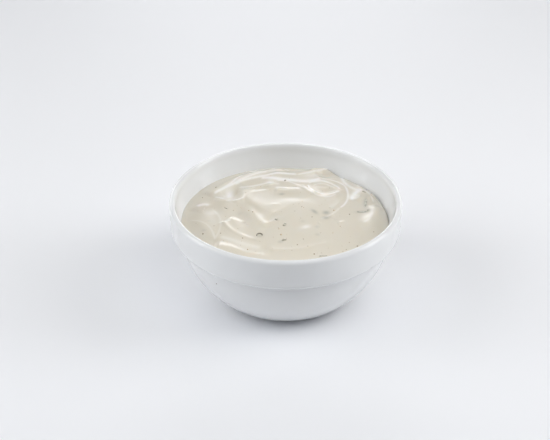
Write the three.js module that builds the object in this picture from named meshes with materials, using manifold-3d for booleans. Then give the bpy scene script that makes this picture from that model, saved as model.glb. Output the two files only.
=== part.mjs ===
// A white porcelain stacking bowl filled with tartar sauce, its top swirled with a spoon.
// Millimetres, +Z up. The origin is the middle of the plane that the foot ring stands on,
// and the side that faces the viewer is -Y.

import * as THREE from 'three';
import { mergeVertices } from 'three/addons/utils/BufferGeometryUtils.js';
import Module from 'manifold-3d';

// Driving dimensions of the bowl.
const RIM_RADIUS = 60;
const BOWL_HEIGHT = 55;
const LIP_THICKNESS = 3.4;
const LIP_OUTER_ROUND = 1.9;
const LIP_INNER_DROP = 3.5; // height over which the inside of the lip rounds over
const COLLAR_HEIGHT = 17; // from the lip down to the step
const COLLAR_DRAFT = 0.3; // how much narrower the collar is at its lower edge
const COLLAR_EDGE_ROUND = 2.8;
const BODY_CENTRE = [5, 42]; // radius and height of the middle of the body's arc
const BODY_ARC_RADIUS = 50.6;
const BODY_THICKNESS = 3.2;
const BODY_LOW_ANGLE = 49; // degrees below level where the outer arc turns into the foot
const INNER_ARC = [-12, -44]; // degrees between which the inner wall keeps to its arc
const INNER_WALL_PULLS = [[56.3, 46.5], [52.4, 38]]; // what bends the wall between lip and arc
const FOOT_RADIUS = 32;
const FOOT_WIDTH = 3.2;
const FOOT_HEIGHT = 1.75;
const FOOT_ROUND = 0.6;
const FLOOR_HEIGHT = 5.6; // top of the bowl's floor
const FLOOR_RADIUS = 30;
const BOWL_SEGMENTS = 72;
const BODY_STEPS = 7;
const COLLAR_EDGE_STEPS = 2;
const LIP_STEPS = 3;
const FOOT_BEND_STEPS = 2;
const INNER_WALL_STEPS = 6;
const INNER_ARC_STEPS = 3;

// Driving dimensions of the sauce.
const SAUCE_GAP = 0.3; // between the sauce and the glaze
const SAUCE_LEVEL = 42.6; // height of the surface at the wall
const DOME_RISE = 1.5; // how much higher the middle stands
const TILT = [0.018, 0.006]; // rise in mm for each mm towards +X and +Y
const SURFACE_RADIUS = 54; // mean radius of the surface
const ROLL_DEPTH = 1.5; // mean drop of the rounded edge beside the wall
const ROLL_SWING = 1.9; // how much deeper that drop is on the deep side
const ROLL_SIDE = 15; // direction of the deep side, in degrees from +X
const ROLL_WIDTH = 2.2;
const SAUCE_SEGMENTS = 112;
const SURFACE_RINGS = 29;
const WALL_RINGS = 5;
const EDGE_ROUNDS = 8; // passes that find where the surface meets the wall

// Folds left by the spoon. Each crest follows one cubic Bezier curve in plan and has its
// height at both ends, the width of its slopes to the left and right of its direction,
// the lengths over which it fades in and out, and the rounding of its crest.
const FOLDS = [
  { name: 'outer fold', path: [[-40.6, 20.6], [-33.9, 35.2], [-16.9, 49], [3.9, 45.3]],
    crest: [1.3, 1.5], slopes: [3.6, 1.6], fade: [5, 8], round: 1.2 },
  { name: 'outer fold, inner edge', path: [[-38.6, 22], [-30.8, 30.8], [-23.4, 41], [-9.6, 43.9]],
    crest: [0.5, 0.7], slopes: [1.4, 1.2], fade: [4, 6], round: 0.9 },
  { name: 'back fold', path: [[-28.2, 31.9], [-12, 51.6], [19.3, 28.4], [29.5, 57.3]],
    crest: [0.7, 2.8], slopes: [2.4, 4.2], fade: [5, 3], round: 1.3 },
  { name: 'far side', path: [[23.8, 62], [-3.1, 15.3], [52.5, 41.1], [44.7, 8.8]],
    crest: [1.7, 1.8], slopes: [4.2, 3.2], fade: [3, 8], round: 1.1 },
  { name: 'inner spiral', path: [[-12.8, 37.3], [18.4, 35.2], [52.4, 32.8], [16, -5.4]],
    crest: [0.9, 0.1], slopes: [2.6, 1.8], fade: [5, 20], round: 1.1 },
  { name: 'leaf, upper lip', path: [[13.6, 30.4], [18.8, 36], [24.2, 27.6], [29.4, 23.3]],
    crest: [0.6, 0.45], slopes: [1.2, 1.3], fade: [2.5, 3], round: 0.9 },
  { name: 'leaf, lower lip', path: [[31.2, 25], [19.4, 10.3], [15.5, 17.5], [13.5, 31]],
    crest: [0.6, 0.45], slopes: [1.1, 1.4], fade: [3.5, 3], round: 1 },
  { name: 'leaf, outer lip', path: [[10.5, 30.5], [8.3, 20.4], [24.4, 13.6], [29.7, 24.6]],
    crest: [0.35, 0.5], slopes: [1, 2.4], fade: [3, 4], round: 0.8 },
  { name: 'under spiral', path: [[-4.6, 33.1], [2.4, 30.6], [11.7, 28.1], [16.6, 19]],
    crest: [0.42, 0.33], slopes: [2.9, 2.3], fade: [4.1, 2], round: 1.4 },
  { name: 'plateau, top', path: [[-26.4, 26], [-16.2, 25.8], [-9.2, 31.7], [-1.3, 31.3]],
    crest: [0.8, 0.4], slopes: [1.2, 4.2], fade: [3.5, 5], round: 0.8 },
  { name: 'bar', path: [[-6.5, 25.1], [-1.5, 25], [3.7, 22.2], [9, 25.9]],
    crest: [0.55, 0.56], slopes: [1.4, 2.6], fade: [2.6, 3], round: 0.9 },
  { name: 'plateau, left', path: [[-23, 27.9], [-24.5, 15.3], [-11.4, 6], [-3.6, -2.1]],
    crest: [1.25, 0.5], slopes: [6.5, 3.2], fade: [8, 4], round: 2.2 },
  { name: 'spoon streak', path: [[-19, 10.1], [-16.7, 1.7], [-15.6, -6.4], [-8.7, -13.4]],
    crest: [0.6, 1.15], slopes: [3.6, 2.9], fade: [9, 4.5], round: 1.5 },
  { name: 'left bar', path: [[-29.8, -2.2], [-27.1, -4.2], [-22.6, -5.1], [-20.7, -6.7]],
    crest: [0.28, 0.14], slopes: [1.2, 3.2], fade: [2, 2], round: 1.2 },
  { name: 'lower ridge', path: [[-32.3, -4.9], [-30.1, -12.8], [-22.7, -21.2], [-11.2, -23.8]],
    crest: [0.71, 0.13], slopes: [1.4, 0.9], fade: [1.3, 4.1], round: 0.9 },
  { name: 'lobe, top', path: [[-50.2, 5.8], [-48.9, 9.2], [-42.7, 17.9], [-38.9, 10.2]],
    crest: [0.7, 0.5], slopes: [1.8, 3.2], fade: [5, 4], round: 0.9 },
  { name: 'lobe, right', path: [[-39.9, 8.5], [-31.9, -1.7], [-30, -14.5], [-36, -24.2]],
    crest: [0.25, 0.35], slopes: [3.6, 3.4], fade: [7, 5], round: 1.2 },
  { name: 'lobe, inner', path: [[-49.5, -3.2], [-42.8, -2.5], [-38.6, -16.1], [-36, -23]],
    crest: [0.15, 0.25], slopes: [2.2, 3], fade: [7, 7], round: 1.4 },
  { name: 'front roll', path: [[-36.7, -27.4], [-26, -27.1], [-19.7, -40.1], [-6.6, -36.5]],
    crest: [1.2, 0.73], slopes: [3.3, 3.5], fade: [3.6, 6.1], round: 1.4 },
  { name: 'front roll, top', path: [[-34.9, -20.1], [-26.6, -24], [-20.9, -31.2], [-10.3, -32.9]],
    crest: [0.12, 0.19], slopes: [1.6, 3.5], fade: [5.9, 4.9], round: 1.8 },
  { name: 'front arc', path: [[-9.6, -30.8], [2.5, -35.1], [15.2, -29.3], [25.6, -24]],
    crest: [0.46, 0.38], slopes: [2.4, 2.6], fade: [4, 8.3], round: 0.9 },
  { name: 'star, left', path: [[-38.4, 18.4], [-35.2, 17.3], [-31.8, 16.3], [-29.1, 14.8]],
    crest: [0.55, 0.4], slopes: [1.5, 1.6], fade: [2.7, 3], round: 0.9 },
  { name: 'star, top', path: [[-30.1, 25.3], [-30.2, 21.5], [-30.7, 17.5], [-29.2, 13.7]],
    crest: [0.03, 0.12], slopes: [1.7, 1.5], fade: [1.5, 1], round: 1 },
  { name: 'star, right', path: [[-28.2, 13.4], [-26, 14.7], [-23.9, 16.5], [-21.1, 16.1]],
    crest: [0.8, 0.5], slopes: [1.4, 1.4], fade: [2.8, 2.2], round: 0.8 },
  { name: 'right face', path: [[47.2, 12.8], [48.4, 2.2], [51.6, -6.8], [36.8, -14.8]],
    crest: [1.4, 0.8], slopes: [2.9, 2.2], fade: [8, 9], round: 1.6 },
  { name: 'hollow rim', path: [[42.7, 24.4], [40.2, 21.2], [40.4, 15.8], [36.4, 11.4]],
    crest: [0.7, 0.8], slopes: [3, 1.4], fade: [4, 4.8], round: 1.3 },
  { name: 'broad band', path: [[-18.9, 20.5], [-2.7, 14.7], [12.5, 12.4], [26.6, 16]],
    crest: [0.2, 0.03], slopes: [4.4, 6], fade: [7, 8], round: 1.6 },
  { name: 'back band', path: [[-10.1, 39.6], [-1.5, 43.1], [5.9, 35.2], [16.3, 42.3]],
    crest: [1, 0.9], slopes: [3.4, 2.8], fade: [7, 7], round: 1.5 },
  { name: 'right crest', path: [[26.3, -8.5], [27.6, -8.2], [29.1, -8], [31, -6.2]],
    crest: [0.19, 0.24], slopes: [0.9, 1.1], fade: [0.8, 2.9], round: 1 },
  { name: 'small crest', path: [[16.5, -9], [17.3, -9], [18, -8.5], [17.9, -8.2]],
    crest: [0.16, 0.15], slopes: [0.9, 0.9], fade: [1, 0.9], round: 1 },
  { name: 'small crest, behind', path: [[22.8, -3.3], [23.7, -2.7], [24.8, -2], [25.8, -1.9]],
    crest: [0.15, 0.14], slopes: [0.9, 0.9], fade: [1, 0.9], round: 1 },
  { name: 'plateau crest', path: [[-6.2, 11.1], [-6.3, 9.6], [-5, 9.2], [-2.6, 10.3]],
    crest: [0.13, 0.03], slopes: [1.1, 1.1], fade: [1.3, 0.8], round: 1 },
];
const PATH_STEPS = 24;

// Broad swells and hollows: centre, half length and half width, turn in degrees, rise.
const SWELLS = [
  { centre: [8.4, 44.2], radii: [17.3, 4.3], turn: 37, rise: -0.53 },
  { centre: [21.3, 40.6], radii: [7.9, 3], turn: 9, rise: -1.35 },
  { centre: [24.7, 29.8], radii: [9.7, 2.9], turn: -11, rise: -1.38 },
  { centre: [-28.6, 21.8], radii: [7.7, 4.8], turn: 22, rise: -1.15 },
  { centre: [-21.6, -5.7], radii: [3.6, 10.9], turn: 14, rise: -0.99 },
  { centre: [3.5, 16.3], radii: [15.3, 3.2], turn: -2, rise: -0.14 },
  { centre: [7.4, -3.9], radii: [21.4, 14.9], turn: 31, rise: 0.62 },
  { centre: [-8.4, 29.3], radii: [2.9, 2.5], turn: -2, rise: 0.74 },
  { centre: [9.5, -16.9], radii: [6, 4.7], turn: 25, rise: 0.62 },
  { centre: [36.8, 19.4], radii: [4.2, 2.1], turn: -17, rise: -0.39 },
  { centre: [-11.4, 3], radii: [5.9, 4.1], turn: -11, rise: -0.26 },
  { centre: [-38.1, 7.2], radii: [4.8, 14.2], turn: 10, rise: -0.9 },
  { centre: [-21.1, -9.4], radii: [5.8, 6.3], turn: 2, rise: 0.45 },
  { centre: [44, -3.7], radii: [3.9, 11.3], turn: -32, rise: 0.53 },
];

// Pieces of herb and caper that show from a step away: centre, length, width, turn in degrees.
const BITS = [
  { centre: [-0.6, -10.2], size: [2.6, 1.6], turn: 60 },
  { centre: [-0.9, -23.4], size: [2.8, 1.5], turn: 20 },
  { centre: [-4.6, -5.3], size: [2, 1.4], turn: 30 },
  { centre: [-1.9, 20.3], size: [2.4, 1.6], turn: 10 },
  { centre: [0.1, 34.2], size: [1.8, 1.5], turn: 80 },
  { centre: [-31.3, 8.2], size: [2.8, 1.3], turn: -50 },
  { centre: [15.2, 1.8], size: [5, 1.7], turn: -58 },
  { centre: [21.2, 0.9], size: [2.8, 2.6], turn: 0 },
  { centre: [20.9, -3.9], size: [3, 2], turn: 10 },
  { centre: [42.6, 11.4], size: [7, 1.3], turn: 83 },
  { centre: [40.3, 2.6], size: [5.8, 1.3], turn: 4 },
  { centre: [42.4, 20.6], size: [2.2, 1.3], turn: -30 },
  { centre: [18.3, -37], size: [3.6, 1.3], turn: 8 },
];
const BIT_THICKNESS = 1;
const BIT_SHOWING = 0.2; // how far a bit's middle plane stands above the sauce
const CHIVE_RING = { centre: [-13.3, -18.9], radius: 1.4, thickness: 0.9 };

const radians = THREE.MathUtils.degToRad;

// Points of an arc in the profile plane, from one angle to the other, in degrees. With a
// rise, the arc is an ellipse's.
function arc([x, z], radius, [from, to], steps, rise = radius) {
  return Array.from({ length: steps + 1 }, (_, i) => {
    const angle = radians(from + ((to - from) * i) / steps);
    return new THREE.Vector2(x + radius * Math.cos(angle), z + rise * Math.sin(angle));
  });
}

// Points of a Bezier curve with three or four control points.
function bezier(controls, steps) {
  const points = controls.map(([x, y]) => new THREE.Vector2(x, y));
  const Curve = points.length === 3 ? THREE.QuadraticBezierCurve : THREE.CubicBezierCurve;
  return new Curve(...points).getPoints(steps);
}

// Underside, foot ring, body, step and collar, from the axis out and up to the lip.
function outerProfile() {
  const stepHeight = BOWL_HEIGHT - COLLAR_HEIGHT;
  const topSine = (stepHeight - BODY_CENTRE[1]) / BODY_ARC_RADIUS;
  const span = [-BODY_LOW_ANGLE, THREE.MathUtils.radToDeg(Math.asin(topSine))];
  const body = arc(BODY_CENTRE, BODY_ARC_RADIUS, span, BODY_STEPS);
  const run = (body[0].y - FOOT_HEIGHT) * Math.tan(radians(BODY_LOW_ANGLE));
  const footBend = [
    [FOOT_RADIUS + FOOT_ROUND, FOOT_HEIGHT],
    [body[0].x - run, FOOT_HEIGHT],
    body[0].toArray(),
  ];
  const footInside = FOOT_RADIUS - FOOT_WIDTH;
  const collarEdge = [
    RIM_RADIUS - COLLAR_DRAFT - COLLAR_EDGE_ROUND,
    stepHeight + COLLAR_EDGE_ROUND,
  ];
  const lip = [RIM_RADIUS - LIP_OUTER_ROUND, BOWL_HEIGHT - LIP_OUTER_ROUND];
  return [
    new THREE.Vector2(0, FOOT_HEIGHT),
    new THREE.Vector2(footInside - FOOT_ROUND, FOOT_HEIGHT),
    new THREE.Vector2(footInside, FOOT_ROUND),
    new THREE.Vector2(footInside + FOOT_ROUND, 0),
    new THREE.Vector2(FOOT_RADIUS - FOOT_ROUND, 0),
    new THREE.Vector2(FOOT_RADIUS, FOOT_ROUND),
    ...bezier(footBend, FOOT_BEND_STEPS).slice(0, -1),
    ...body,
    ...arc(collarEdge, COLLAR_EDGE_ROUND, [-90, 0], COLLAR_EDGE_STEPS),
    ...arc(lip, LIP_OUTER_ROUND, [0, 90], LIP_STEPS),
  ];
}

// Inside of the lip, inner wall and floor, from the lip down and in to the axis.
function innerProfile() {
  const lipRound = LIP_THICKNESS - LIP_OUTER_ROUND;
  const lipCentre = [RIM_RADIUS - LIP_OUTER_ROUND, BOWL_HEIGHT - LIP_INNER_DROP];
  const wall = arc(BODY_CENTRE, BODY_ARC_RADIUS - BODY_THICKNESS, INNER_ARC, INNER_ARC_STEPS);
  const low = wall.at(-1);
  const run = (low.y - FLOOR_HEIGHT) * Math.tan(radians(-INNER_ARC[1]));
  const lipFoot = [lipCentre[0] - lipRound, lipCentre[1]];
  const upper = bezier([lipFoot, ...INNER_WALL_PULLS, wall[0].toArray()], INNER_WALL_STEPS);
  const heelBend = [low.toArray(), [low.x - run, FLOOR_HEIGHT], [FLOOR_RADIUS, FLOOR_HEIGHT]];
  return {
    lip: arc(lipCentre, lipRound, [90, 180], LIP_STEPS, LIP_INNER_DROP).slice(1, -1),
    wall: [...upper, ...wall.slice(1), ...bezier(heelBend, FOOT_BEND_STEPS).slice(1)],
  };
}

const inside = innerProfile();

function makeBowl() {
  const profile = [...outerProfile(), ...inside.lip, ...inside.wall, new THREE.Vector2(0, FLOOR_HEIGHT)];
  return new THREE.LatheGeometry(profile, BOWL_SEGMENTS).rotateX(Math.PI / 2);
}

// Radius of the sauce at a height: the inner wall moved in by the gap.
function sauceRadius(height) {
  const z = height - SAUCE_GAP;
  const { wall } = inside;
  const next = Math.max(1, wall.findIndex((point) => point.y <= z));
  const [high, low] = [wall[next - 1], wall[next]];
  return high.x + ((low.x - high.x) * (high.y - z)) / (high.y - low.y) - SAUCE_GAP;
}

const foldPaths = FOLDS.map(({ path }) => {
  const points = bezier(path, PATH_STEPS);
  const lengths = [0];
  points.slice(1).forEach((point, i) => lengths.push(lengths[i] + point.distanceTo(points[i])));
  return { points, lengths, total: lengths[PATH_STEPS] };
});

// Nearest point of a fold's path: its distance, its side and how far along it lies.
function nearestOnPath({ points, lengths }, x, y) {
  let nearest = { distance: Infinity, left: true, along: 0 };
  for (let i = 0; i < PATH_STEPS; i += 1) {
    const length = lengths[i + 1] - lengths[i];
    const ux = (points[i + 1].x - points[i].x) / length;
    const uy = (points[i + 1].y - points[i].y) / length;
    const dx = x - points[i].x;
    const dy = y - points[i].y;
    const t = THREE.MathUtils.clamp(dx * ux + dy * uy, 0, length);
    const distance = Math.hypot(dx - t * ux, dy - t * uy);
    if (distance < nearest.distance) {
      nearest = { distance, left: ux * dy - uy * dx >= 0, along: lengths[i] + t };
    }
  }
  return nearest;
}

// A fold rises to its crest and falls away exponentially on both sides of it.
function foldRise(fold, path, x, y) {
  const { distance, left, along } = nearestOnPath(path, x, y);
  const slope = left ? fold.slopes[0] : fold.slopes[1];
  const crest = THREE.MathUtils.lerp(fold.crest[0], fold.crest[1], along / path.total);
  const fadeIn = THREE.MathUtils.smoothstep(along, 0, fold.fade[0]);
  const fadeOut = THREE.MathUtils.smoothstep(path.total - along, 0, fold.fade[1]);
  const rounded = Math.hypot(distance, fold.round) - fold.round;
  return crest * fadeIn * fadeOut * Math.exp(-rounded / slope);
}

function swellRise({ centre, radii, turn, rise }, x, y) {
  const offset = new THREE.Vector2(x - centre[0], y - centre[1]);
  offset.rotateAround(new THREE.Vector2(), -radians(turn));
  return rise * Math.exp(-((offset.x / radii[0]) ** 2) - (offset.y / radii[1]) ** 2);
}

// Height of the sauce: a low dome, rounded down at the wall, with its swells and folds.
function surfaceHeight(x, y) {
  const radius = Math.hypot(x, y);
  const dome = DOME_RISE * (1 - (radius / SURFACE_RADIUS) ** 2);
  const deepSide = Math.cos(Math.atan2(y, x) - radians(ROLL_SIDE));
  const roll = (ROLL_DEPTH + ROLL_SWING * deepSide) * Math.exp((radius - SURFACE_RADIUS) / ROLL_WIDTH);
  let height = SAUCE_LEVEL + dome + TILT[0] * x + TILT[1] * y - roll;
  FOLDS.forEach((fold, i) => { height += foldRise(fold, foldPaths[i], x, y); });
  SWELLS.forEach((swell) => { height += swellRise(swell, x, y); });
  return height;
}

// Where the surface meets the wall in one direction.
function edgeRadius(angle) {
  let radius = SURFACE_RADIUS;
  for (let i = 0; i < EDGE_ROUNDS; i += 1) {
    radius = sauceRadius(surfaceHeight(radius * Math.cos(angle), radius * Math.sin(angle)));
  }
  return radius;
}

// The sauce in rings: out over the surface, then down the wall to the bowl's floor.
function makeSauceBody() {
  const positions = [0, 0, surfaceHeight(0, 0)];
  const angles = Array.from({ length: SAUCE_SEGMENTS }, (_, i) => (i / SAUCE_SEGMENTS) * 2 * Math.PI);
  const edges = angles.map(edgeRadius);
  const ring = (radiusAt, heightAt) => angles.forEach((angle, i) => {
    const radius = radiusAt(i);
    const [x, y] = [radius * Math.cos(angle), radius * Math.sin(angle)];
    positions.push(x, y, heightAt(x, y, i));
  });
  for (let k = 1; k <= SURFACE_RINGS; k += 1) {
    ring((i) => (edges[i] * k) / SURFACE_RINGS, surfaceHeight);
  }
  const floor = FLOOR_HEIGHT + SAUCE_GAP;
  const edgeHeights = edges.map((radius, i) => (
    surfaceHeight(radius * Math.cos(angles[i]), radius * Math.sin(angles[i]))
  ));
  for (let k = 1; k <= WALL_RINGS; k += 1) {
    const height = (i) => THREE.MathUtils.lerp(edgeHeights[i], floor, k / WALL_RINGS);
    ring((i) => sauceRadius(height(i)), (x, y, i) => height(i));
  }
  const rings = SURFACE_RINGS + WALL_RINGS;
  const last = positions.length / 3;
  positions.push(0, 0, floor);
  const vertex = (k, i) => 1 + k * SAUCE_SEGMENTS + (i % SAUCE_SEGMENTS);
  const faces = [];
  for (let i = 0; i < SAUCE_SEGMENTS; i += 1) {
    faces.push(0, vertex(0, i), vertex(0, i + 1));
    for (let k = 0; k < rings - 1; k += 1) {
      const [a, b, c, d] = [vertex(k, i), vertex(k + 1, i), vertex(k + 1, i + 1), vertex(k, i + 1)];
      faces.push(a, b, c, a, c, d);
    }
    faces.push(last, vertex(rings - 1, i + 1), vertex(rings - 1, i));
  }
  const geometry = new THREE.BufferGeometry();
  geometry.setAttribute('position', new THREE.Float32BufferAttribute(positions, 3));
  return geometry.setIndex(faces);
}

// One herb bit: a flat ellipsoid that lies in the surface.
function makeBit({ centre: [x, y], size: [length, width], turn }) {
  const bit = new THREE.SphereGeometry(0.5, 6, 4).rotateX(Math.PI / 2);
  bit.scale(length, width, BIT_THICKNESS).rotateZ(radians(turn));
  return bit.translate(x, y, surfaceHeight(x, y) + BIT_SHOWING);
}

function makeChiveRing({ centre: [x, y], radius, thickness }) {
  const ring = new THREE.TorusGeometry(radius, thickness / 2, 4, 8);
  return ring.translate(x, y, surfaceHeight(x, y) + BIT_SHOWING);
}

const manifold = await Module();
manifold.setup();

function toSolid(geometry) {
  const bare = geometry.clone().deleteAttribute('normal').deleteAttribute('uv');
  const merged = mergeVertices(bare);
  return new manifold.Manifold(new manifold.Mesh({
    numProp: 3,
    vertProperties: Float32Array.from(merged.attributes.position.array),
    triVerts: Uint32Array.from(merged.index.array),
  }));
}

function toGeometry(solid) {
  const { vertProperties, triVerts } = solid.getMesh();
  const geometry = new THREE.BufferGeometry();
  geometry.setAttribute('position', new THREE.BufferAttribute(vertProperties, 3));
  return geometry.setIndex(new THREE.BufferAttribute(triVerts, 1));
}

function makeSauce() {
  const bits = [...BITS.map(makeBit), makeChiveRing(CHIVE_RING)];
  return toGeometry(bits.reduce((solid, bit) => solid.add(toSolid(bit)), toSolid(makeSauceBody())));
}

const glaze = new THREE.MeshStandardMaterial({ color: '#e6e7e8', roughness: 0.12, metalness: 0 });
const cream = new THREE.MeshStandardMaterial({ color: '#ddd6c3', roughness: 0.3, metalness: 0 });

function part(name, geometry, material) {
  const mesh = new THREE.Mesh(geometry, material);
  mesh.name = name;
  return mesh;
}

const bowlOfSauce = new THREE.Group();
bowlOfSauce.add(part('bowl', makeBowl(), glaze));
bowlOfSauce.add(part('tartar_sauce', makeSauce(), cream));

export default bowlOfSauce;
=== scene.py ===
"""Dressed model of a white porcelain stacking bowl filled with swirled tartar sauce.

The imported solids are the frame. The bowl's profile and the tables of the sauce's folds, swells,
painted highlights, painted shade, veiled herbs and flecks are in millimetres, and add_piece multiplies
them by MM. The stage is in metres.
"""

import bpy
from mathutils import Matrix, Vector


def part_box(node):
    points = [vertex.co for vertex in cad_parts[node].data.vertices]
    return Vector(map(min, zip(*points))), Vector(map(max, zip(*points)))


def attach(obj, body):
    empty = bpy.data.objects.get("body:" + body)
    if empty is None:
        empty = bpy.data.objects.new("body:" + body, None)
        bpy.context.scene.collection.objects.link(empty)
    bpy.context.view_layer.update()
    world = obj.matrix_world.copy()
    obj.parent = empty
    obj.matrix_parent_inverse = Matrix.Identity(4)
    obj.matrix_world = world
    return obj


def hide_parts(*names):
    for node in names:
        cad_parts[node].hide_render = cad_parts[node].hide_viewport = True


bl_info = {
    "name": "Bowl of Tartar Sauce",
    "version": (1, 0, 0),
    "blender": (4, 5, 0),
    "location": "View3D > Sidebar > Sauce Bowl",
    "description": "Builds a porcelain bowl of tartar sauce, its herbs and its studio",
    "category": "Add Mesh",
}

import bpy
import numpy as np
from bpy.props import FloatProperty, FloatVectorProperty, IntProperty, PointerProperty
from bpy.types import Operator, Panel, PropertyGroup
from mathutils import Vector

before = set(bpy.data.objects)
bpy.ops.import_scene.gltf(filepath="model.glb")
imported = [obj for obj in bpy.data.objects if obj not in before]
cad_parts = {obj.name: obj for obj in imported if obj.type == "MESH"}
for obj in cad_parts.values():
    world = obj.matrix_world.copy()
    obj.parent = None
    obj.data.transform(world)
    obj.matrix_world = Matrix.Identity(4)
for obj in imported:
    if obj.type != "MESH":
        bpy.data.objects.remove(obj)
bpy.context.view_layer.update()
BOWL_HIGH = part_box("bowl")[1]

MM = 0.001
BODY = "root"

# Bowl profile, in millimetres: radius from the axis, and height above the table.
RIM_RADIUS = BOWL_HIGH[0] / MM
BOWL_HEIGHT = BOWL_HIGH[2] / MM
LIP_THICKNESS = 3.4
LIP_OUTER_ROUND = 1.9
COLLAR_HEIGHT = 17.0
COLLAR_DRAFT = 0.3
COLLAR_EDGE_ROUND = 2.8
STEP_FILLET = 1.5
FILLET_LEAN = 0.05
LIP_INNER_DROP = 3.5
BODY_CENTRE = (5.0, 42.0)
BODY_ARC_RADIUS = 50.6
BODY_THICKNESS = 3.2
BODY_LOW_ANGLE = 49.0
INNER_ARC = (-12.0, -44.0)
INNER_WALL_PULLS = ((56.3, 46.5), (52.4, 38.0))
FOOT_RADIUS = 32.0
FOOT_WIDTH = 3.2
FOOT_HEIGHT = 1.75
FOOT_ROUND = 0.6
FLOOR_HEIGHT = 5.6
FLOOR_RADIUS = 30.0
# Steps of the profile's curves.
FOOT_STEPS = 5
UNDER_STEPS = 8
BODY_STEPS = 40
FILLET_STEPS = 6
COLLAR_STEPS = 10
LIP_STEPS = 12
INNER_LIP_STEPS = 16
INNER_WALL_STEPS = 28
INNER_ARC_STEPS = 16
HEEL_STEPS = 10

# Sauce surface, in millimetres.
SAUCE_LEVEL = 42.6
DOME_RISE = 1.5
TILT = (0.018, 0.006)
SURFACE_RADIUS = 54.0
ROLL_DEPTH = 1.5
ROLL_SWING = 1.9
ROLL_SIDE = 15.0
ROLL_WIDTH = 2.2
WALL_OVERLAP = 0.12
EDGE_ANGLES = 721
EDGE_ROUNDS = 8
SIDE_SHARES = (0.25, 0.5, 0.75, 1.0)

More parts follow.
